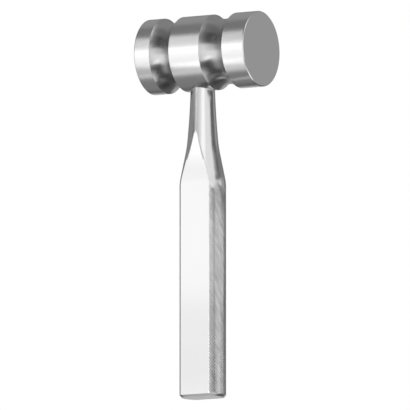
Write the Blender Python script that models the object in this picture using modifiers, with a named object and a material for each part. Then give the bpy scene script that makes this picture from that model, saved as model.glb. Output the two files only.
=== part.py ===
"""All-steel surgical bone mallet: a turned head, a flatted handle and the dowel that locks them.

Metres, +Z up. The origin is the middle of the handle's end face, the handle stands along +Z, and the
head is turned about the X direction. The handle's two milled flats face -Y and +Y.
"""

import math

import bmesh
import bpy

MM = 0.001

# Head: a bar turned about X, three drums with a cove between each two.
HEAD_RADIUS = 17.5 * MM
HEAD_AXIS_Z = 160.0 * MM
BACK_DRUM = 8.0 * MM
BACK_COVE = 10.5 * MM
CENTRE_DRUM = 15.7 * MM
FRONT_COVE = 12.3 * MM
FRONT_DRUM = 11.4 * MM
CENTRE_DRUM_X = -0.5 * MM  # the middle of the centre drum, from the handle's axis
COVE_DEPTH = 2.4 * MM
RIM_CHAMFER = 0.4 * MM

# Handle: a bar turned about Z, with two flats milled on it and a tenon in the head.
GRIP_RADIUS = 10.75 * MM
GRIP_LENGTH = 99.6 * MM
END_CHAMFER = 1.0 * MM
SHOULDER_BLEND = 5.0 * MM  # length of the rounding where the grip meets the flare
FLARE_SLOPE = 0.203  # radius lost per length just above the grip
WAIST_SLOPE = 0.095  # the same at the foot of the stem
SEAT_SLOPE = 0.025  # the same at the top of the stem, under the head
FLARE_END_Z = 113.0 * MM
STEM_START_Z = 119.0 * MM
FLAT_HALF_WIDTH = 7.65 * MM  # half the distance across the flats
FLAT_SLOPE = 0.0374  # how fast each flat leans inwards above the grip
FLAT_END_Z = 134.0 * MM  # past the point where the flat runs out of the flare

# Joint of head and handle.
SEAT_DEPTH = 2.0 * MM  # how deep the stem's shoulder sits in the head's underside
TENON_RADIUS = 4.0 * MM
TENON_ABOVE_AXIS = 8.0 * MM
TENON_CHAMFER = 0.6 * MM
DOWEL_RADIUS = 1.5 * MM
DOWEL_TIP_Y = -7.0 * MM
DOWEL_CHAMFER = 0.3 * MM
DOWEL_RECESS = 0.1 * MM  # how far the dowel's end lies below the head's surface
GAP = 0.3 * MM  # clearance kept around a piece inside its neighbour

ROUND_STEPS = 72
BORE_STEPS = 32
COVE_STEPS = 10
SHOULDER_STEPS = 4
WAIST_STEPS = 3
STEM_STEPS = 7
CUTTER_OVERRUN = 5.0 * MM
SHARP_ANGLE = math.radians(24.0)

HEAD_FRONT_X = CENTRE_DRUM_X + CENTRE_DRUM / 2 + FRONT_COVE + FRONT_DRUM
SEAT_Z = HEAD_AXIS_Z - HEAD_RADIUS + SEAT_DEPTH
SHOULDER_START_Z = GRIP_LENGTH - SHOULDER_BLEND / 2
CONE_START_Z = GRIP_LENGTH + SHOULDER_BLEND / 2


def clear_scene():
    for item in list(bpy.data.objects):
        bpy.data.objects.remove(item, do_unlink=True)


def new_collection(name):
    collection = bpy.data.collections.new(name)
    bpy.context.scene.collection.children.link(collection)
    return collection


def steel(name, colour, roughness):
    material = bpy.data.materials.new(name)
    material.use_nodes = True
    shader = material.node_tree.nodes["Principled BSDF"]
    shader.inputs["Base Color"].default_value = (*colour, 1.0)
    shader.inputs["Metallic"].default_value = 1.0
    shader.inputs["Roughness"].default_value = roughness
    return material


def add_object(name, data, collection, material=None):
    item = bpy.data.objects.new(name, data)
    collection.objects.link(item)
    if material:
        item.data.materials.append(material)
    return item


def turned(name, profile, steps, collection, material=None):
    """A solid turned about its own Z from (radius, height) points, listed from the top down."""
    mesh = bpy.data.meshes.new(name)
    points = [(radius, 0.0, height) for radius, height in profile]
    edges = [(i, i + 1) for i in range(len(points) - 1)]
    mesh.from_pydata(points, edges, [])
    item = add_object(name, mesh, collection, material)
    screw = item.modifiers.new("Turn", "SCREW")
    screw.axis = "Z"
    screw.angle = math.tau
    screw.steps = steps
    screw.render_steps = steps
    screw.use_merge_vertices = True
    screw.merge_threshold = 0.00001
    screw.use_smooth_shade = False
    return item


def as_cutter(item):
    item.hide_render = True
    item.display_type = "WIRE"
    return item


def cylinder_cutter(name, radius, start, end, axis, collection):
    """A drill along Z or Y through the handle's axis, from start to end on that axis."""
    mesh = bpy.data.meshes.new(name)
    drill = bmesh.new()
    bmesh.ops.create_cone(
        drill,
        cap_ends=True,
        segments=BORE_STEPS,
        radius1=radius,
        radius2=radius,
        depth=abs(end - start),
    )
    drill.to_mesh(mesh)
    drill.free()
    item = as_cutter(add_object(name, mesh, collection))
    middle = (start + end) / 2
    if axis == "Z":
        item.location = (0.0, 0.0, middle)
    else:
        item.location = (0.0, middle, HEAD_AXIS_Z)
        item.rotation_euler = (math.radians(90.0), 0.0, 0.0)
    return item


def plate_cutter(name, outline, thickness, collection):
    """A closed (y, z) outline given a thickness along X."""
    curve = bpy.data.curves.new(name, "CURVE")
    curve.dimensions = "2D"
    curve.fill_mode = "BOTH"
    curve.extrude = thickness / 2
    spline = curve.splines.new("POLY")
    spline.points.add(len(outline) - 1)
    for point, (across, up) in zip(spline.points, outline):
        point.co = (across, up, 0.0, 1.0)
    spline.use_cyclic_u = True
    flat = add_object(name + "_outline", curve, collection)
    bpy.context.view_layer.update()
    evaluated = flat.evaluated_get(bpy.context.evaluated_depsgraph_get())
    mesh = bpy.data.meshes.new_from_object(evaluated)
    bpy.data.objects.remove(flat, do_unlink=True)
    solid = bmesh.new()
    solid.from_mesh(mesh)
    bmesh.ops.remove_doubles(solid, verts=solid.verts, dist=0.00001)
    bmesh.ops.recalc_face_normals(solid, faces=solid.faces)
    solid.to_mesh(mesh)
    solid.free()
    item = as_cutter(add_object(name, mesh, collection))
    item.rotation_euler = (math.radians(90.0), 0.0, math.radians(90.0))
    return item


def cut(item, cutter):
    boolean = item.modifiers.new(cutter.name, "BOOLEAN")
    boolean.operation = "DIFFERENCE"
    boolean.solver = "EXACT"
    boolean.object = cutter


def settle(item):
    """Applies the modifiers, then shades round faces smooth and keeps real corners sharp."""
    bpy.context.view_layer.update()
    evaluated = item.evaluated_get(bpy.context.evaluated_depsgraph_get())
    mesh = bpy.data.meshes.new_from_object(evaluated)
    item.modifiers.clear()
    item.data = mesh
    mesh.shade_smooth()
    mesh.set_sharp_from_angle(angle=SHARP_ANGLE)


def cove(start, width):
    """Points of one cove, a circular arc, from its front corner at start towards the back."""
    half = width / 2
    radius = (half**2 + COVE_DEPTH**2) / (2 * COVE_DEPTH)
    reach = math.asin(half / radius)
    points = []
    for i in range(COVE_STEPS + 1):
        angle = reach * (2 * i / COVE_STEPS - 1)
        depth = COVE_DEPTH - radius * (1 - math.cos(angle))
        points.append((HEAD_RADIUS - depth, start - half - radius * math.sin(angle)))
    return points


def head_profile():
    face = HEAD_FRONT_X
    front_cove = face - FRONT_DRUM
    back_cove = front_cove - FRONT_COVE - CENTRE_DRUM
    back_face = back_cove - BACK_COVE - BACK_DRUM
    rim = HEAD_RADIUS - RIM_CHAMFER
    points = [(0.0, face), (rim, face), (HEAD_RADIUS, face - RIM_CHAMFER)]
    points += cove(front_cove, FRONT_COVE)
    points += cove(back_cove, BACK_COVE)
    points += [(HEAD_RADIUS, back_face + RIM_CHAMFER), (rim, back_face), (0.0, back_face)]
    return points


def lost_along(height, start, end, first_slope, last_slope):
    """Radius lost between start and a height, where the slope changes evenly from first to last."""
    along = min(max(height - start, 0.0), end - start)
    return first_slope * along - (first_slope - last_slope) * along**2 / (2 * (end - start))


def bar_radius(height):
    """Radius of the handle: the grip, a rounded shoulder, a cone, a waist and a slightly tapered stem."""
    radius = GRIP_RADIUS - lost_along(height, SHOULDER_START_Z, CONE_START_Z, 0.0, FLARE_SLOPE)
    radius -= lost_along(height, CONE_START_Z, FLARE_END_Z, FLARE_SLOPE, FLARE_SLOPE)
    radius -= lost_along(height, FLARE_END_Z, STEM_START_Z, FLARE_SLOPE, WAIST_SLOPE)
    return radius - lost_along(height, STEM_START_Z, SEAT_Z, WAIST_SLOPE, SEAT_SLOPE)


def stations(start, end, steps):
    """Evenly spaced heights from start down to end, both included."""
    return [start + (end - start) * i / steps for i in range(steps + 1)]


def handle_profile():
    tenon_top = HEAD_AXIS_Z + TENON_ABOVE_AXIS
    heights = stations(SEAT_Z, STEM_START_Z, STEM_STEPS)
    heights += stations(STEM_START_Z, FLARE_END_Z, WAIST_STEPS)[1:]
    heights += stations(CONE_START_Z, SHOULDER_START_Z, SHOULDER_STEPS)
    points = [
        (0.0, tenon_top),
        (TENON_RADIUS - TENON_CHAMFER, tenon_top),
        (TENON_RADIUS, tenon_top - TENON_CHAMFER),
        (TENON_RADIUS, SEAT_Z),
    ]
    points += [(bar_radius(height), height) for height in heights]
    points += [
        (GRIP_RADIUS, END_CHAMFER),
        (GRIP_RADIUS - END_CHAMFER, 0.0),
        (0.0, 0.0),
    ]
    return points


def flat_outline():
    """Cross-section, in (y, z), of the stock milled away on the +Y side."""
    lean = FLAT_SLOPE * (FLAT_END_Z - GRIP_LENGTH)
    outside = GRIP_RADIUS + CUTTER_OVERRUN
    below = CUTTER_OVERRUN
    return [
        (FLAT_HALF_WIDTH - END_CHAMFER - below, -below),
        (FLAT_HALF_WIDTH, END_CHAMFER),
        (FLAT_HALF_WIDTH, GRIP_LENGTH),
        (FLAT_HALF_WIDTH - lean, FLAT_END_Z),
        (outside, FLAT_END_Z),
        (outside, -below),
    ]


def dowel_profile():
    half = (HEAD_RADIUS - DOWEL_RECESS - DOWEL_TIP_Y) / 2
    end = DOWEL_RADIUS - DOWEL_CHAMFER
    return [
        (0.0, half),
        (end, half),
        (DOWEL_RADIUS, half - DOWEL_CHAMFER),
        (DOWEL_RADIUS, DOWEL_CHAMFER - half),
        (end, -half),
        (0.0, -half),
    ]


def make_head(dowel_hole, parts, cutters):
    material = steel("head_steel", (0.62, 0.62, 0.61), 0.28)
    item = turned("head", head_profile(), ROUND_STEPS, parts, material)
    item.location = (0.0, 0.0, HEAD_AXIS_Z)
    item.rotation_euler = (0.0, math.radians(90.0), 0.0)
    below = HEAD_AXIS_Z - HEAD_RADIUS - CUTTER_OVERRUN
    seat_radius = bar_radius(SEAT_Z) + GAP
    bore_top = HEAD_AXIS_Z + TENON_ABOVE_AXIS + GAP
    cut(item, cylinder_cutter("seat_cutter", seat_radius, below, SEAT_Z + GAP, "Z", cutters))
    cut(item, cylinder_cutter("bore_cutter", TENON_RADIUS + GAP, below, bore_top, "Z", cutters))
    cut(item, dowel_hole)
    settle(item)


def make_handle(dowel_hole, parts, cutters):
    material = steel("handle_steel", (0.66, 0.66, 0.65), 0.30)
    item = turned("handle", handle_profile(), ROUND_STEPS, parts, material)
    width = 2 * (GRIP_RADIUS + CUTTER_OVERRUN)
    front_outline = [(-across, up) for across, up in flat_outline()]
    cut(item, plate_cutter("back_flat_cutter", flat_outline(), width, cutters))
    cut(item, plate_cutter("front_flat_cutter", front_outline, width, cutters))
    cut(item, dowel_hole)
    settle(item)


def make_dowel(parts):
    material = steel("dowel_steel", (0.60, 0.60, 0.59), 0.25)
    item = turned("locking_dowel", dowel_profile(), BORE_STEPS, parts, material)
    item.location = (0.0, (HEAD_RADIUS - DOWEL_RECESS + DOWEL_TIP_Y) / 2, HEAD_AXIS_Z)
    item.rotation_euler = (math.radians(-90.0), 0.0, 0.0)
    settle(item)


def main():
    clear_scene()
    parts = new_collection("bone_mallet")
    cutters = new_collection("cutters")
    back = HEAD_RADIUS + CUTTER_OVERRUN
    hole_radius = DOWEL_RADIUS + GAP
    dowel_hole = cylinder_cutter("dowel_hole_cutter", hole_radius, DOWEL_TIP_Y - GAP, back, "Y", cutters)
    make_head(dowel_hole, parts, cutters)
    make_handle(dowel_hole, parts, cutters)
    make_dowel(parts)


main()
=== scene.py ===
"""Looks of the all-steel bone mallet: fine turned, milled and knurled surfaces, steels, light and camera."""

import math

import bmesh
import bpy
from mathutils import Matrix, Vector


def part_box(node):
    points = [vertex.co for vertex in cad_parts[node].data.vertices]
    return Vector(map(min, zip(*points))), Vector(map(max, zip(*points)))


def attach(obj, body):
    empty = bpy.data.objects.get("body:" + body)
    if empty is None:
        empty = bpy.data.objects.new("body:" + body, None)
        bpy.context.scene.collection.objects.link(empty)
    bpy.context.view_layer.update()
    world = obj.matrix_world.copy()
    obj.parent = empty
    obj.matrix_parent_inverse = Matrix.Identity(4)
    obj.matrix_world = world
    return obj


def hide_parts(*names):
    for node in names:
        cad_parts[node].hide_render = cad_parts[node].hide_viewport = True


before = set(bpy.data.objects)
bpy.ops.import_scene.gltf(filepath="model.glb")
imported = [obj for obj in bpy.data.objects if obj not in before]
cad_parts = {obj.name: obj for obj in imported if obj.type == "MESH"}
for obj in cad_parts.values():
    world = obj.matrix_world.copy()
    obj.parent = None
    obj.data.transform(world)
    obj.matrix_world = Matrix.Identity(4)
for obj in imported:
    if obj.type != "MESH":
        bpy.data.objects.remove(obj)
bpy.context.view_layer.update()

MM = 0.001

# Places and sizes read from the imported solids.
HEAD_LOW, HEAD_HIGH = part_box("head")
HANDLE_LOW, HANDLE_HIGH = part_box("handle")
DOWEL_LOW, DOWEL_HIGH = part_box("locking_dowel")
HEAD_RADIUS = (HEAD_HIGH.z - HEAD_LOW.z) / 2
HEAD_AXIS_Z = (HEAD_HIGH.z + HEAD_LOW.z) / 2
GRIP_RADIUS = (HANDLE_HIGH.x - HANDLE_LOW.x) / 2
FLAT_HALF_WIDTH = (HANDLE_HIGH.y - HANDLE_LOW.y) / 2
DOWEL_RADIUS = (DOWEL_HIGH.x - DOWEL_LOW.x) / 2

# Head, as in the CAD model.
BACK_DRUM = 8.0 * MM
BACK_COVE = 10.5 * MM
CENTRE_DRUM = 15.7 * MM
FRONT_COVE = 12.3 * MM
FRONT_DRUM = 11.4 * MM
COVE_DEPTH = 2.4 * MM
RIM_CHAMFER = 0.4 * MM
SEAT_DEPTH = 2.0 * MM  # how deep the stem's shoulder sits in the head's underside

# Handle, as in the CAD model.
GRIP_LENGTH = 99.6 * MM
END_CHAMFER = 1.0 * MM
FLARE_SLOPE = 0.203  # radius lost per length just above the grip
WAIST_SLOPE = 0.095  # the same at the foot of the stem
SEAT_SLOPE = 0.025  # the same at the top of the stem, under the head
BLEND_START_Z = 113.0 * MM
BLEND_END_Z = 119.0 * MM
FLAT_SLOPE = 0.0374  # how fast each flat leans inwards above the grip
SHOULDER_BLEND = 5.0 * MM  # length of the rounding where the grip meets the flare
TENON_RADIUS = 4.0 * MM
TENON_TOP_Z = HANDLE_HIGH.z
TENON_CHAMFER = 0.6 * MM

# Fine edges and close fits, finer than the CAD model's.
RIM_SUPPORT = 0.1 * MM  # narrow strip of mesh that keeps the drum's shading straight up to the rim
RIM_EASE = 0.08 * MM  # rounding of the two corners of each rim
EDGE_BREAK = 0.15 * MM  # width of the broken corner between a flat and a round side
EDGE_SHARE = 0.3  # the most of a flat's half width that its broken corner takes
DOWEL_CHAMFER = 0.12 * MM
DOWEL_EASE = 0.05 * MM
FIT_GAP = 0.02 * MM  # what is left open where steel meets steel

# Knurl on the round sides of the grip, which the CAD model leaves smooth.
KNURLS_ACROSS = 15  # diamonds across one round side
KNURL_PITCH_Z = 1.5 * MM
KNURL_DEPTH = 0.17 * MM
KNURL_LOW_Z = 1.05 * MM
KNURL_HIGH_Z = 99.5 * MM
KNURL_LOW_FADE = 0.35 * MM  # height over which the knurl reaches its full depth at its lower end
KNURL_HIGH_FADE = 5.5 * MM  # and at its upper end

SEAT_Z = HEAD_AXIS_Z - HEAD_RADIUS + SEAT_DEPTH

# Mesh density and tests.
KNURL_STEPS = 4  # columns and rows of mesh in one diamond
SIDE_COLUMNS = KNURL_STEPS * KNURLS_ACROSS
FLAT_COLUMNS = 12
FLARE_RINGS = 64
SMALLEST_CORNER = math.radians(4.0)  # half angle of the flat's strip of mesh above its pointed end
COVE_STEPS = 36
FACE_RINGS = (0.3, 0.6, 0.85, 0.97)  # rings of mesh on a striking face, as shares of its radius
FACE_LAST_RING = 0.98
TURN_STEPS = 288
DOWEL_STEPS = 64
DRILL_STEPS = 96
DRILL_PAST = 5.0 * MM  # how far a drill starts outside the steel
WELD = 0.002 * MM
SHARP_ANGLE = math.radians(17.0)
FLAT_NORMAL_Y = 0.995  # a face that turns to the front or back more than this may be on a flat
NEAR_FLAT = 0.02 * MM  # and is on it when its middle is this close
FACE_NORMAL_X = 0.99  # a face of the head that turns to the side more than this is on a striking face

# Order of each piece's steels.
DRUM, COVE, FACE = range(3)
STEM, FLAT, KNURL, END = range(4)

# Tool marks and wear, as noise cells: per metre, per radian about the head, or per pitch of the knurl.
FINE_MARKS = 9000.0
SPOT_MARKS = 6000.0
CLOUD_MARKS = 70.0
POLISH_LINES = 160.0
POLISH_BREAKS = 90.0
GRIND_BREAKS = 60.0
STREAK_LINES = 1.4
STREAK_BREAKS = 0.14
STREAK_PITCH = 1.14 * MM  # around the grip, close to the knurl's own pitch
GRAIN_SHARE = 0.6  # how much of a steel's variation is tool marks; the rest is soft clouds
DULL_SHARE = 0.94  # grey of the dullest spots against the brightest
ROUGHNESS_SPREAD = 0.25  # how far roughness strays from its middle, as a share of it

# Camera.
AZIMUTH = math.radians(29.5)
ELEVATION = math.radians(-7.5)
DISTANCE = 5.0  # far off, so that there is almost no perspective
FRAME_WIDTH = 0.1890  # width of the view at the mallet
SENSOR = 36.0
AIM_Z = 89.4 * MM
AIM_RIGHT = 1.0 * MM

# Studio.
FLOOR_RADIUS = 3.0
FLOOR_FADE_START = 0.3  # distance from the mallet where the floor starts to fade to white
FLOOR_FADE_END = 2.7
FLOOR_GREY = 0.86
FLOOR_STEPS = 96
FLOOR_GAP = 0.5 * MM
ROOM_GREY = 0.13
CARD_COLUMNS = 24
CARD_ROWS = 12
FAR_DISTANCE = 4.0
MIDDLE_DISTANCE = 3.5

# Middles of the balls that the cards are parts of.
HEAD_MIDDLE = Vector((0.0, 0.0, HEAD_AXIS_Z))
SHOULDER = Vector((0.0, 0.0, GRIP_LENGTH))
BUTT = Vector((0.0, 0.0, 20.0 * MM))
GRIP_FRONT = Vector((0.0, -FLAT_HALF_WIDTH, 75.0 * MM))


def toward(azimuth, elevation):
    """Unit direction from the mallet to a viewer at this azimuth and elevation."""
    flat = math.cos(elevation)
    return Vector((math.sin(azimuth) * flat, -math.cos(azimuth) * flat, math.sin(elevation)))


# ---------------------------------------------------------------- shapes


def add_piece(name, mesh, node, materials):
    item = bpy.data.objects.new(name, mesh)
    bpy.context.scene.collection.objects.link(item)
    for material in materials:
        mesh.materials.append(material)
    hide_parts(node)
    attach(item, "root")
    return item


def shade(mesh):
    mesh.shade_smooth()
    mesh.set_sharp_from_angle(angle=SHARP_ANGLE)


def turned_mesh(name, profile, steps):
    """A closed solid turned about Z from (radius, height) points, top down, ending on the axis."""
    mesh = bpy.data.meshes.new(name + "_profile")
    points = [(radius, 0.0, height) for radius, height in profile]
    mesh.from_pydata(points, [(i, i + 1) for i in range(len(points) - 1)], [])
    item = bpy.data.objects.new(name + "_profile", mesh)
    bpy.context.scene.collection.objects.link(item)
    screw = item.modifiers.new("Turn", "SCREW")
    screw.steps = steps
    screw.render_steps = steps
    screw.use_merge_vertices = True
    screw.merge_threshold = WELD
    return applied(item)


def applied(item):
    """The object's evaluated mesh; the object itself is removed."""
    bpy.context.view_layer.update()
    mesh = bpy.data.meshes.new_from_object(item.evaluated_get(bpy.context.evaluated_depsgraph_get()))
    bpy.data.objects.remove(item, do_unlink=True)
    return mesh


def drill(radius, start, end, axis):
    """A cylinder along Z or Y through the handle's axis."""
    mesh = bpy.data.meshes.new("drill")
    tool = bmesh.new()
    bmesh.ops.create_cone(
        tool, cap_ends=True, segments=DRILL_STEPS, radius1=radius, radius2=radius, depth=abs(end - start)
    )
    tool.to_mesh(mesh)
    tool.free()
    item = bpy.data.objects.new("drill", mesh)
    bpy.context.scene.collection.objects.link(item)
    middle = (start + end) / 2
    if axis == "Z":
        item.location = (0.0, 0.0, middle)
    else:
        item.location = (0.0, middle, HEAD_AXIS_Z)
        item.rotation_euler = (math.radians(90.0), 0.0, 0.0)
    return item


def drilled(mesh, drills):
    item = bpy.data.objects.new("blank", mesh)
    bpy.context.scene.collection.objects.link(item)
    for tool in drills:
        boolean = item.modifiers.new("Drill", "BOOLEAN")
        boolean.operation = "DIFFERENCE"
        boolean.solver = "EXACT"
        boolean.object = tool
    result = applied(item)
    for tool in drills:
        bpy.data.objects.remove(tool, do_unlink=True)
    return result


def eased(points, radius, steps=3):
    """Rounds each inner corner of an outline with a small arc-like curve."""
    longest_share = 0.45  # of a side, so that the curves at its two ends never meet
    result = [points[0]]
    for before, corner, after in zip(points, points[1:], points[2:]):
        start = Vector(before) - Vector(corner)
        end = Vector(after) - Vector(corner)
        reach = min(radius, start.length * longest_share, end.length * longest_share)
        first = Vector(corner) + start.normalized() * reach
        last = Vector(corner) + end.normalized() * reach
        for i in range(steps + 1):
            t = i / steps
            near = first.lerp(Vector(corner), t)
            far = Vector(corner).lerp(last, t)
            result.append(tuple(near.lerp(far, t)))
    result.append(points[-1])
    return result


def cove(start, width):
    """Points inside one cove, a circular arc, from just past its front corner at start towards the back."""
    half = width / 2
    radius = (half**2 + COVE_DEPTH**2) / (2 * COVE_DEPTH)
    reach = math.asin(half / radius)
    points = []
    for i in range(1, COVE_STEPS):
        angle = reach * (2 * i / COVE_STEPS - 1)
        depth = COVE_DEPTH - radius * (1 - math.cos(angle))
        points.append((HEAD_RADIUS - depth, start - half - radius * math.sin(angle)))
    return points


def head_profile():
    """Outline of the head in (radius, x), from the striking face to the back face."""
    face = HEAD_HIGH.x
    back = HEAD_LOW.x
    rim = HEAD_RADIUS - RIM_CHAMFER
    front_cove = face - FRONT_DRUM
    centre = front_cove - FRONT_COVE
    back_cove = centre - CENTRE_DRUM
    end_drum = back_cove - BACK_COVE
    points = [(0.0, face)]
    points += [(rim * share, face) for share in FACE_RINGS]
    points += rim_points(face, -1)
    points += [(HEAD_RADIUS, front_cove)] + cove(front_cove, FRONT_COVE) + [(HEAD_RADIUS, centre)]
    points += [(HEAD_RADIUS, back_cove)] + cove(back_cove, BACK_COVE) + [(HEAD_RADIUS, end_drum)]
    points += reversed(rim_points(back, 1))
    points += [(rim * share, back) for share in reversed(FACE_RINGS)]
    return points + [(0.0, back)]


def rim_points(end, inward):
    """Outline of one chamfered rim, from the end face at x = end to the drum; inward is 1 or -1."""
    rim = HEAD_RADIUS - RIM_CHAMFER
    corner = end + inward * RIM_CHAMFER
    outline = [(rim * FACE_LAST_RING, end), (rim, end), (HEAD_RADIUS, corner)]
    return eased(outline + [(HEAD_RADIUS, corner + inward * RIM_SUPPORT)], RIM_EASE)


def lost_along(height, start, end, first_slope, last_slope):
    """Radius lost between start and a height, where the slope changes evenly from first to last."""
    along = min(max(height - start, 0.0), end - start)
    return first_slope * along - (first_slope - last_slope) * along**2 / (2 * (end - start))


def bar_radius(height):
    """Radius of the turned handle: chamfered end, grip, rounded shoulder, cone, blend and stem."""
    if height < END_CHAMFER:
        return GRIP_RADIUS - END_CHAMFER + height
    into_blend = height - (GRIP_LENGTH - SHOULDER_BLEND / 2)
    if into_blend < SHOULDER_BLEND:
        return GRIP_RADIUS - FLARE_SLOPE * max(into_blend, 0.0) ** 2 / (2 * SHOULDER_BLEND)
    radius = GRIP_RADIUS - FLARE_SLOPE * (min(height, BLEND_START_Z) - GRIP_LENGTH)
    radius -= lost_along(height, BLEND_START_Z, BLEND_END_Z, FLARE_SLOPE, WAIST_SLOPE)
    return radius - lost_along(height, BLEND_END_Z, SEAT_Z, WAIST_SLOPE, SEAT_SLOPE)


def flat_distance(height):
    """How far each milled flat lies from the handle's axis at a height."""
    if height < END_CHAMFER:
        return FLAT_HALF_WIDTH - END_CHAMFER + height
    return FLAT_HALF_WIDTH - FLAT_SLOPE * max(height - GRIP_LENGTH, 0.0)


def knurl_depth(column, row, height):
    """Depth of the knurl at a grid point: grooves run along both diagonals of the grid."""
    fade = min((height - KNURL_LOW_Z) / KNURL_LOW_FADE, (KNURL_HIGH_Z - height) / KNURL_HIGH_FADE)
    if fade <= 0.0:
        return 0.0
    half = KNURL_STEPS / 2
    rising = abs((column + row) % KNURL_STEPS - half) / half
    falling = abs((column - row) % KNURL_STEPS - half) / half
    return KNURL_DEPTH * max(rising, falling) * min(fade, 1.0)


def handle_heights():
    """Heights of the handle's rings from its end to the head, and the knurl's first and last ring."""
    step = KNURL_PITCH_Z / KNURL_STEPS
    count = round((KNURL_HIGH_Z - KNURL_LOW_Z) / step)
    heights = [0.0, END_CHAMFER]
    first = len(heights)
    heights += [KNURL_LOW_Z + step * i for i in range(count + 1)]
    top = heights[-1]
    heights += [top + (SEAT_Z - top) * i / FLARE_RINGS for i in range(1, FLARE_RINGS + 1)]
    return heights, first, first + count


def handle_ring(height, row, knurled):
    """Points of one cross-section: the front flat, the +X side, the back flat and the -X side."""
    radius = bar_radius(height)
    flat = flat_distance(height)
    corner = math.acos(min(flat / radius, math.cos(SMALLEST_CORNER)))
    half_width = radius * math.sin(corner)
    edge = min(EDGE_BREAK, half_width * EDGE_SHARE)
    inner = half_width - edge
    start = corner + edge / radius
    points = []
    for side in (-1, 1):
        for i in range(FLAT_COLUMNS + 1):
            across = inner * (2 * i / FLAT_COLUMNS - 1)
            out = min(flat, math.sqrt(radius**2 - across**2))
            points.append((-side * across, side * out, height))
        for i in range(SIDE_COLUMNS + 1):
            angle = start + (math.pi - 2 * start) * i / SIDE_COLUMNS
            reach = radius - (knurl_depth(i, row, height) if knurled else 0.0)
            points.append((-side * reach * math.sin(angle), side * reach * math.cos(angle), height))
    return points


def join_rings(faces, first, second, count, row):
    """Quads between two rings of points; cells of the knurl are split along their grooves."""
    for i in range(count):
        j = (i + 1) % count
        quad = (first + i, first + j, second + j, second + i)
        side_column = column_on_side(i)
        if row is None or side_column is None:
            faces.append(quad)
        elif (side_column + row) % 2 == 0:
            faces += [(quad[0], quad[1], quad[2]), (quad[0], quad[2], quad[3])]
        else:
            faces += [(quad[0], quad[1], quad[3]), (quad[1], quad[2], quad[3])]


def column_on_side(index):
    """Which column of a round side this cell is, or None on a flat or a broken corner."""
    along = index % (FLAT_COLUMNS + SIDE_COLUMNS + 2) - (FLAT_COLUMNS + 1)
    return along if 0 <= along < SIDE_COLUMNS else None


def circle_ring(radius, height, like):
    """A round ring at this radius, with its points at the same angles as another ring's."""
    ring = []
    for x, y, _ in like:
        scale = radius / math.hypot(x, y)
        ring.append((x * scale, y * scale, height))
    return ring


def handle_mesh():
    heights, knurl_first, knurl_last = handle_heights()
    rings = []
    for i, height in enumerate(heights):
        knurled = knurl_first <= i <= knurl_last
        rings.append(handle_ring(height, i - knurl_first, knurled))
    shoulder = rings[-1]
    rings.append(circle_ring(TENON_RADIUS, SEAT_Z, shoulder))
    rings.append(circle_ring(TENON_RADIUS, TENON_TOP_Z - TENON_CHAMFER, shoulder))
    rings.append(circle_ring(TENON_RADIUS - TENON_CHAMFER, TENON_TOP_Z, shoulder))
    count = len(shoulder)
    points = [point for ring in rings for point in ring]
    faces = []
    for i in range(len(rings) - 1):
        row = i - knurl_first if knurl_first <= i < knurl_last else None
        join_rings(faces, i * count, (i + 1) * count, count, row)
    faces.append(tuple(reversed(range(count))))
    faces.append(tuple(range(len(points) - count, len(points))))
    mesh = bpy.data.meshes.new("handle_bar")
    mesh.from_pydata(points, [], faces)
    groove = mesh.attributes.new("groove", "FLOAT", "POINT")
    groove.data.foreach_set("value", [groove_share(point) for point in points])
    return mesh


def groove_share(point):
    """How far a point lies below the bar's round surface: 0 on it, 1 at the bottom of a knurl groove."""
    x, y, height = point
    if not KNURL_LOW_Z < height < KNURL_HIGH_Z or abs(y) > flat_distance(height) - EDGE_BREAK / 2:
        return 0.0
    return min(max((bar_radius(height) - math.hypot(x, y)) / KNURL_DEPTH, 0.0), 1.0)


def handle_zones(mesh):
    """Gives each face the steel of its zone: stem, flat, knurl or end."""
    for face in mesh.polygons:
        centre = face.center
        from_flat = abs(abs(centre.y) - flat_distance(centre.z))
        if centre.z < END_CHAMFER:
            face.material_index = END
        elif abs(face.normal.y) > FLAT_NORMAL_Y and from_flat < NEAR_FLAT:
            face.material_index = FLAT
        elif KNURL_LOW_Z < centre.z < KNURL_HIGH_Z:
            face.material_index = KNURL
        else:
            face.material_index = STEM


def make_handle(materials):
    dowel_hole = drill(DOWEL_RADIUS + FIT_GAP, DOWEL_LOW.y - FIT_GAP, HEAD_HIGH.y, "Y")
    mesh = drilled(handle_mesh(), [dowel_hole])
    handle_zones(mesh)
    shade(mesh)
    return add_piece("handle_bar", mesh, "handle", materials)


def head_zones(mesh):
    """Gives each face the steel of its zone: drum, cove or striking face."""
    front_cove = HEAD_HIGH.x - FRONT_DRUM
    centre = front_cove - FRONT_COVE
    back_cove = centre - CENTRE_DRUM
    for face in mesh.polygons:
        x = face.center.x
        in_cove = centre < x < front_cove or back_cove - BACK_COVE < x < back_cove
        if abs(face.normal.x) > FACE_NORMAL_X:
            face.material_index = FACE
        elif in_cove:
            face.material_index = COVE
        else:
            face.material_index = DRUM


def make_head(materials):
    mesh = turned_mesh("head", head_profile(), TURN_STEPS)
    mesh.transform(Matrix.Translation((0.0, 0.0, HEAD_AXIS_Z)) @ Matrix.Rotation(math.radians(90.0), 4, "Y"))
    below = HEAD_LOW.z - DRILL_PAST
    drills = [
        drill(bar_radius(SEAT_Z) + FIT_GAP, below, SEAT_Z + FIT_GAP, "Z"),
        drill(TENON_RADIUS + FIT_GAP, below, TENON_TOP_Z + FIT_GAP, "Z"),
        drill(DOWEL_RADIUS + FIT_GAP, DOWEL_LOW.y - FIT_GAP, HEAD_HIGH.y + DRILL_PAST, "Y"),
    ]
    mesh = drilled(mesh, drills)
    head_zones(mesh)
    shade(mesh)
    return add_piece("head_turned", mesh, "head", materials)


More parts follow.
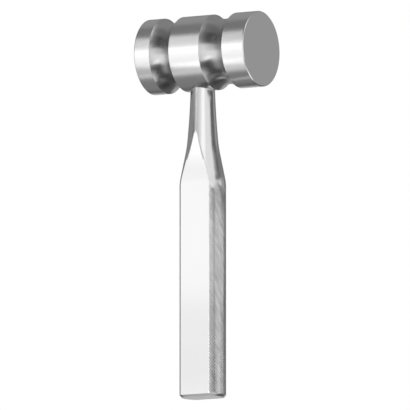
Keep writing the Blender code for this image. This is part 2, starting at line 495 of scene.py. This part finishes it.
def make_dowel(material):
    half = (DOWEL_HIGH.y - DOWEL_LOW.y) / 2
    end = DOWEL_RADIUS - DOWEL_CHAMFER
    corner = half - DOWEL_CHAMFER
    profile = [(0.0, half), (end, half), (DOWEL_RADIUS, corner)]
    profile += [(DOWEL_RADIUS, -corner), (end, -half), (0.0, -half)]
    mesh = turned_mesh("dowel", eased(profile, DOWEL_EASE), DOWEL_STEPS)
    middle = (DOWEL_HIGH.y + DOWEL_LOW.y) / 2
    place = Matrix.Translation((0.0, middle, HEAD_AXIS_Z))
    mesh.transform(place @ Matrix.Rotation(math.radians(-90.0), 4, "X"))
    shade(mesh)
    return add_piece("dowel_pin", mesh, "locking_dowel", [material])


# ---------------------------------------------------------------- materials


class Nodes:
    """A short way to add and join the nodes of one tree."""

    def __init__(self, tree):
        self.tree = tree

    def add(self, kind, settings=None, **inputs):
        node = self.tree.nodes.new(kind)
        for key, value in (settings or {}).items():
            setattr(node, key, value)
        for key, value in inputs.items():
            self.feed(node.inputs[key.replace("_", " ")], value)
        return node

    def feed(self, socket, value):
        if isinstance(value, bpy.types.NodeSocket):
            self.tree.links.new(value, socket)
        else:
            socket.default_value = value

    def math(self, operation, *values):
        node = self.tree.nodes.new("ShaderNodeMath")
        node.operation = operation
        for socket, value in zip(node.inputs, values):
            self.feed(socket, value)
        return node.outputs[0]

    def mix_shader(self, share, first, second):
        node = self.tree.nodes.new("ShaderNodeMixShader")
        for socket, value in zip(node.inputs, (share, first, second)):
            self.feed(socket, value)
        return node.outputs[0]

    def mix_color(self, blend, share, first, second):
        node = self.add("ShaderNodeMix", {"data_type": "RGBA", "blend_type": blend})
        factor, color_a, color_b, result = 0, 6, 7, 2  # places of the colour sockets on this node
        for place, value in ((factor, share), (color_a, first), (color_b, second)):
            self.feed(node.inputs[place], value)
        return node.outputs[result]

    def spread(self, value, low, high):
        """Maps 0..1 to low..high."""
        return self.add("ShaderNodeMapRange", Value=value, To_Min=low, To_Max=high).outputs[0]


def flat_grey(value):
    return (value, value, value, 1.0)


def steel(name, grey, roughness, grain_vector, grain_depth, anisotropy=0.0, tangent_axis="X", turn=0.0):
    """Stainless steel whose fine tool marks follow grain_vector, a function that returns a socket.

    An anisotropic steel stretches its reflections about tangent_axis, turned by turn of a whole turn.
    """
    material = bpy.data.materials.new(name)
    material.use_nodes = True
    shader = material.node_tree.nodes["Principled BSDF"]
    nodes = Nodes(material.node_tree)
    place = nodes.add("ShaderNodeTexCoord").outputs["Object"]
    grain = nodes.add(
        "ShaderNodeTexNoise", Vector=grain_vector(nodes, place), Scale=1.0, Detail=3.0, Roughness=0.6
    ).outputs[0]
    cloud = nodes.add("ShaderNodeTexNoise", Vector=place, Scale=CLOUD_MARKS, Detail=2.0).outputs[0]
    marks = nodes.math("MULTIPLY", grain, GRAIN_SHARE)
    mixed = nodes.math("ADD", marks, nodes.math("MULTIPLY", cloud, 1.0 - GRAIN_SHARE))
    color = nodes.mix_color("MIX", mixed, flat_grey(grey * DULL_SHARE), flat_grey(grey))
    nodes.feed(shader.inputs["Base Color"], color)
    shader.inputs["Metallic"].default_value = 1.0
    stray = roughness * ROUGHNESS_SPREAD
    nodes.feed(shader.inputs["Roughness"], nodes.spread(mixed, roughness - stray, roughness + stray))
    bump = nodes.add("ShaderNodeBump", Height=grain, Strength=1.0, Distance=grain_depth)
    nodes.feed(shader.inputs["Normal"], bump.outputs[0])
    if anisotropy:
        shader.inputs["Anisotropic"].default_value = anisotropy
        shader.inputs["Anisotropic Rotation"].default_value = turn
        tangent = nodes.add("ShaderNodeTangent", {"direction_type": "RADIAL", "axis": tangent_axis})
        nodes.feed(shader.inputs["Tangent"], tangent.outputs[0])
    return material


def darken(material, mask, share):
    """Multiplies a steel's colour by share where mask is 1; mask is a function that returns a socket."""
    shader = material.node_tree.nodes["Principled BSDF"]
    nodes = Nodes(material.node_tree)
    clean = shader.inputs["Base Color"].links[0].from_socket
    color = nodes.mix_color("MULTIPLY", mask(nodes), clean, flat_grey(share))
    nodes.feed(shader.inputs["Base Color"], color)


def groove_shade_mask(nodes):
    """1 at the bottom of the knurl's grooves, less up their walls: painted shade in the knurl's grooves."""
    return nodes.add("ShaderNodeAttribute", {"attribute_name": "groove"}).outputs["Fac"]


def streak_mask(nodes):
    """Wear in long slanting streaks that follow one of the knurl's two rows of grooves."""
    place = nodes.add("ShaderNodeTexCoord").outputs["Object"]
    split = nodes.add("ShaderNodeSeparateXYZ", Vector=place).outputs
    around = nodes.math("ARCTAN2", split[0], nodes.math("MULTIPLY", split[1], -1.0))
    side = nodes.math("MULTIPLY", around, GRIP_RADIUS / STREAK_PITCH)
    up = nodes.math("MULTIPLY", split[2], 1.0 / KNURL_PITCH_Z)
    across = nodes.math("MULTIPLY", nodes.math("ADD", up, side), STREAK_LINES)
    along = nodes.math("MULTIPLY", nodes.math("SUBTRACT", up, side), STREAK_BREAKS)
    cells = nodes.add("ShaderNodeCombineXYZ", X=across, Y=along).outputs[0]
    wear = nodes.add("ShaderNodeTexNoise", Vector=cells, Scale=1.0, Detail=1.0).outputs[0]
    return nodes.add("ShaderNodeMapRange", Value=wear, From_Min=0.35, From_Max=0.65).outputs[0]


def turned_about_x(nodes, place):
    """Rings about the head's axis: the pattern changes along X and with the distance from the axis."""
    split = nodes.add("ShaderNodeSeparateXYZ", Vector=place).outputs
    up = nodes.math("SUBTRACT", split[2], HEAD_AXIS_Z)
    front_squared = nodes.math("MULTIPLY", split[1], split[1])
    out = nodes.math("SQRT", nodes.math("ADD", front_squared, nodes.math("MULTIPLY", up, up)))
    along = nodes.math("MULTIPLY", split[0], FINE_MARKS)
    outward = nodes.math("MULTIPLY", out, FINE_MARKS)
    return nodes.add("ShaderNodeCombineXYZ", X=along, Y=outward).outputs[0]


def brushed_along_x(nodes, place):
    """Long lines along the head's axis: the pattern changes with the angle around it."""
    split = nodes.add("ShaderNodeSeparateXYZ", Vector=place).outputs
    up = nodes.math("SUBTRACT", split[2], HEAD_AXIS_Z)
    around = nodes.math("MULTIPLY", nodes.math("ARCTAN2", up, split[1]), POLISH_LINES)
    along = nodes.math("MULTIPLY", split[0], POLISH_BREAKS)
    return nodes.add("ShaderNodeCombineXYZ", X=around, Y=along).outputs[0]


def ground_along_z(nodes, place):
    """Straight lines along the handle, from grinding it lengthways."""
    split = nodes.add("ShaderNodeSeparateXYZ", Vector=place).outputs
    across = nodes.math("MULTIPLY", split[0], FINE_MARKS)
    along = nodes.math("MULTIPLY", split[2], GRIND_BREAKS)
    return nodes.add("ShaderNodeCombineXYZ", X=across, Y=along).outputs[0]


def fine_spots(nodes, place):
    """A fine even tooth with no direction."""
    scaled = nodes.add("ShaderNodeVectorMath", {"operation": "SCALE"}, Vector=place, Scale=SPOT_MARKS)
    return scaled.outputs[0]


# ---------------------------------------------------------------- stage


def emitting(name, strength):
    material = bpy.data.materials.new(name)
    material.use_nodes = True
    tree = material.node_tree
    tree.nodes.clear()
    glow = tree.nodes.new("ShaderNodeEmission")
    glow.inputs["Strength"].default_value = strength
    output = tree.nodes.new("ShaderNodeOutputMaterial")
    tree.links.new(glow.outputs[0], output.inputs["Surface"])
    return material


def floor_material():
    """A pale floor that fades to white at its rim and is open from below for a camera under it."""
    material = bpy.data.materials.new("floor")
    material.use_nodes = True
    tree = material.node_tree
    tree.nodes.clear()
    nodes = Nodes(tree)
    place = nodes.add("ShaderNodeTexCoord").outputs["Object"]
    reach = nodes.add("ShaderNodeVectorMath", {"operation": "LENGTH"}, Vector=place).outputs["Value"]
    fade = nodes.add(
        "ShaderNodeMapRange", Value=reach, From_Min=FLOOR_FADE_START, From_Max=FLOOR_FADE_END
    ).outputs[0]
    pale = nodes.add("ShaderNodeBsdfDiffuse", Color=flat_grey(FLOOR_GREY)).outputs[0]
    white = nodes.add("ShaderNodeEmission").outputs[0]
    top = nodes.mix_shader(fade, pale, white)
    below = nodes.add("ShaderNodeNewGeometry").outputs["Backfacing"]
    clear = nodes.add("ShaderNodeBsdfTransparent").outputs[0]
    output = nodes.add("ShaderNodeOutputMaterial")
    nodes.feed(output.inputs["Surface"], nodes.mix_shader(below, top, clear))
    return material


def make_floor():
    mesh = bpy.data.meshes.new("floor")
    disc = bmesh.new()
    bmesh.ops.create_circle(disc, cap_ends=True, segments=FLOOR_STEPS, radius=FLOOR_RADIUS)
    disc.to_mesh(mesh)
    disc.free()
    mesh.materials.append(floor_material())
    item = bpy.data.objects.new("floor", mesh)
    item.location = (0.0, 0.0, -FLOOR_GAP)
    bpy.context.scene.collection.objects.link(item)
    item.visible_glossy = False
    item.visible_shadow = False


def about_x(lean, turn):
    """Unit direction that leans from the YZ plane towards +X, turned about X from -Y up to +Z."""
    flat = math.cos(lean)
    return Vector((math.sin(lean), -flat * math.cos(turn), flat * math.sin(turn)))


def make_card(name, way, first, second, strength, centre, distance):
    """A glowing curved panel, part of a ball about centre, that the camera doesn't see.

    first and second are its spans in degrees in the two angles of way, a function such as about_x.
    """
    points = []
    for j in range(CARD_ROWS + 1):
        for i in range(CARD_COLUMNS + 1):
            one = first[0] + (first[1] - first[0]) * i / CARD_COLUMNS
            other = second[0] + (second[1] - second[0]) * j / CARD_ROWS
            points.append(centre + way(math.radians(one), math.radians(other)) * distance)
    faces = []
    for j in range(CARD_ROWS):
        for i in range(CARD_COLUMNS):
            corner = j * (CARD_COLUMNS + 1) + i
            above = corner + CARD_COLUMNS + 1
            faces.append((corner, corner + 1, above + 1, above))
    mesh = bpy.data.meshes.new(name)
    mesh.from_pydata(points, [], faces)
    mesh.materials.append(emitting(name, strength))
    item = bpy.data.objects.new(name, mesh)
    bpy.context.scene.collection.objects.link(item)
    item.visible_camera = False
    item.visible_diffuse = False


def make_world():
    """White to the camera and the floor, grey in the steel's reflections."""
    world = bpy.data.worlds.new("studio")
    bpy.context.scene.world = world
    world.use_nodes = True
    tree = world.node_tree
    tree.nodes.clear()
    nodes = Nodes(tree)
    ray = nodes.add("ShaderNodeLightPath").outputs
    open_white = nodes.math("MAXIMUM", ray["Is Camera Ray"], ray["Is Diffuse Ray"])
    white = nodes.add("ShaderNodeBackground", Color=flat_grey(1.0), Strength=1.0).outputs[0]
    grey = nodes.add("ShaderNodeBackground", Color=flat_grey(1.0), Strength=ROOM_GREY).outputs[0]
    output = nodes.add("ShaderNodeOutputWorld")
    nodes.feed(output.inputs["Surface"], nodes.mix_shader(open_white, grey, white))


def make_camera():
    data = bpy.data.cameras.new("camera")
    data.sensor_width = SENSOR
    data.lens = SENSOR * DISTANCE / FRAME_WIDTH
    data.clip_start = 0.01
    data.clip_end = 40.0
    camera = bpy.data.objects.new("camera", data)
    bpy.context.scene.collection.objects.link(camera)
    back = toward(AZIMUTH, ELEVATION)
    right = Vector((math.cos(AZIMUTH), math.sin(AZIMUTH), 0.0))
    aim = Vector((0.0, 0.0, AIM_Z)) + right * AIM_RIGHT
    camera.location = aim + back * DISTANCE
    camera.rotation_euler = (-back).to_track_quat("-Z", "Y").to_euler()
    bpy.context.scene.camera = camera


make_camera()
bpy.context.scene.view_settings.view_transform = "Standard"
make_world()
make_floor()

# Far cards about the head: name, lean span, turn span, strength. Spans are in degrees.
for name, lean, turn, strength in (
    ("bar_white", (-31.3, -27.7), (-47.0, 14.0), 2.0),
    ("bar_upper", (-31.3, -27.7), (14.0, 53.0), 1.0),
    ("bar_lower", (-31.3, -27.7), (-72.0, -47.0), 0.95),
    ("bar_bottom", (-31.3, -27.7), (-130.0, -72.0), 0.24),
    ("left_near", (-50.0, -31.3), (0.0, 20.0), 0.60),
    ("left_far", (-90.0, -50.0), (-28.0, 20.0), 0.34),
    ("left_upper", (-90.0, -56.0), (20.0, 62.0), 0.30),
    ("left_lower", (-90.0, -56.0), (-130.0, -28.0), 0.30),
    ("middle_left", (-27.7, -8.0), (-9.0, 20.0), 0.70),
    ("middle_right", (-8.0, 10.0), (-9.0, 22.0), 0.85),
    ("right_band", (10.0, 50.0), (-9.0, 24.0), 0.60),
    ("upper_dark_left", (-56.0, -31.3), (20.0, 60.0), 0.05),
    ("upper_dark", (-27.7, 16.0), (22.0, 60.0), 0.05),
    ("upper_half", (16.0, 60.0), (24.0, 60.0), 0.22),
    ("lower_dark_left", (-56.0, -31.3), (-130.0, -30.0), 0.06),
    ("lower_dark", (-27.7, 38.0), (-130.0, -30.0), 0.06),
    ("right_lower", (38.0, 78.0), (-130.0, -28.0), 0.50),
    ("top_front", (-90.0, 78.0), (62.0, 95.0), 0.20),
    ("top_back", (-90.0, 78.0), (95.0, 150.0), 0.33),
    ("behind", (-90.0, 78.0), (150.0, 187.0), 0.20),
    ("right_end", (78.0, 90.0), (-180.0, 180.0), 0.60),
):
    make_card(name, about_x, lean, turn, strength, HEAD_MIDDLE, FAR_DISTANCE)

# Cards in front of those: name, azimuth span, elevation span, strength.
for name, azimuth, elevation, strength in (
    ("side_light", (52.0, 96.0), (-8.0, 26.0), 1.05),
    ("side_low", (48.0, 100.0), (-40.0, -8.0), 0.15),
    ("side_dark", (96.0, 136.0), (-8.0, 27.0), 0.10),
    ("side_high", (78.0, 125.0), (27.0, 50.0), 1.7),
    ("face_light", (138.0, 164.0), (-2.0, 16.0), 0.39),
    ("behind_low", (180.0, 240.0), (-20.0, -3.0), 0.65),
    ("back_low", (112.0, 150.0), (-32.0, -10.0), 0.45),
):
    make_card(name, toward, azimuth, elevation, strength, HEAD_MIDDLE, MIDDLE_DISTANCE)

# Cards near the handle, which the grip and the stem mirror and the head sees from other angles:
# name, centre, distance, azimuth span, elevation span, strength.
for name, centre, distance, azimuth, elevation, strength in (
    ("near_high", GRIP_FRONT, 0.25, (-62.0, 40.0), (0.0, 19.5), 1.25),
    ("near_low", GRIP_FRONT, 0.25, (-62.0, -15.0), (-12.0, 0.0), 1.10),
    ("near_bright", GRIP_FRONT, 0.25, (-15.0, 40.0), (-12.0, 0.0), 2.0),
    ("near_round", SHOULDER, 0.15, (96.0, 136.0), (4.0, 18.0), 0.65),
    ("near_front", SHOULDER, 0.15, (20.0, 96.0), (0.0, 24.0), 0.9),
    ("near_middle", SHOULDER, 0.14, (16.0, 46.0), (12.0, 40.0), 1.25),
    ("near_cone", SHOULDER, 0.15, (4.0, 96.0), (24.0, 40.0), 0.95),
    ("near_left", GRIP_FRONT, 0.25, (-78.0, -38.0), (-35.0, -12.0), 0.5),
    ("near_side", BUTT, 0.15, (60.0, 118.0), (-30.0, 14.0), 1.15),
    ("near_table", BUTT, 0.06, (-180.0, 180.0), (-90.0, -60.0), 0.55),
):
    make_card(name, toward, azimuth, elevation, strength, centre, distance)

drum = steel("drum_steel", 0.80, 0.18, brushed_along_x, 0.003 * MM, anisotropy=0.95)
# The coves' steel is greyer than the drums' (0.60 against 0.80): painted shade in the hollows between the
# drums.
cove_shaded_steel = steel("cove_steel_painted_shade", 0.60, 0.31, turned_about_x, 0.002 * MM, anisotropy=0.85, turn=0.25)
face = steel("face_steel", 0.76, 0.16, fine_spots, 0.001 * MM)
stem = steel("stem_steel", 0.79, 0.21, ground_along_z, 0.002 * MM, anisotropy=0.4, tangent_axis="Z")
flats = steel("flat_steel", 0.78, 0.14, ground_along_z, 0.001 * MM)
knurl = steel("knurl_steel", 0.98, 0.18, fine_spots, 0.002 * MM)
# Painted shade at the bottom of the knurl's grooves, darker with each groove's depth.
darken(knurl, groove_shade_mask, 0.7)
darken(knurl, streak_mask, 0.74)
end = steel("end_steel", 0.74, 0.25, fine_spots, 0.003 * MM)
pin = steel("pin_steel", 0.72, 0.20, fine_spots, 0.002 * MM)

# In the order of the steels' numbers above.
make_head([drum, cove_shaded_steel, face])
make_handle([stem, flats, knurl, end])
make_dowel(pin)
